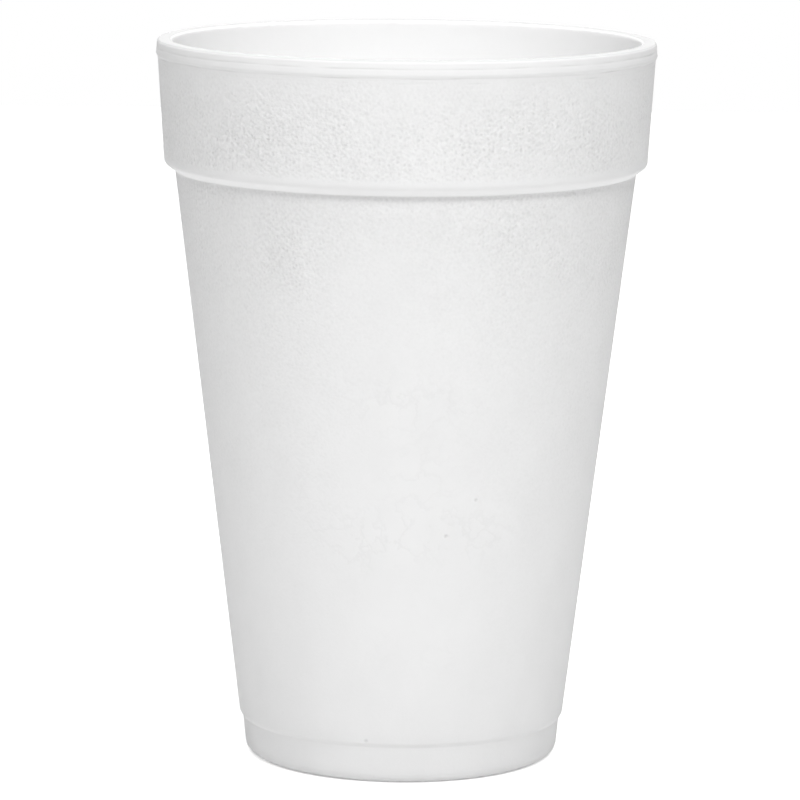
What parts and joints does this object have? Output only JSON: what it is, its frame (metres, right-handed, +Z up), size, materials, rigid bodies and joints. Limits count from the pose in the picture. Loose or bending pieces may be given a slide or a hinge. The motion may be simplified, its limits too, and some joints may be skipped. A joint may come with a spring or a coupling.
{
  "type": "foam cup",
  "caption": "Tall tapered drinking cup of moulded bead foam, with a deep collar under a beaded rim and a stepped foot ring.",
  "frame": {"origin": "middle of the base, on the plane that the foot ring stands on", "axes": "+Z up along the cup's own axis, +X and +Y level; the cup is the same all round"},
  "size_m": [0.092, 0.092, 0.1333],
  "materials": {
    "foam": "matte"
  },
  "bodies": {
    "root": {"cup": "foam"}
  },
  "joints": []
}
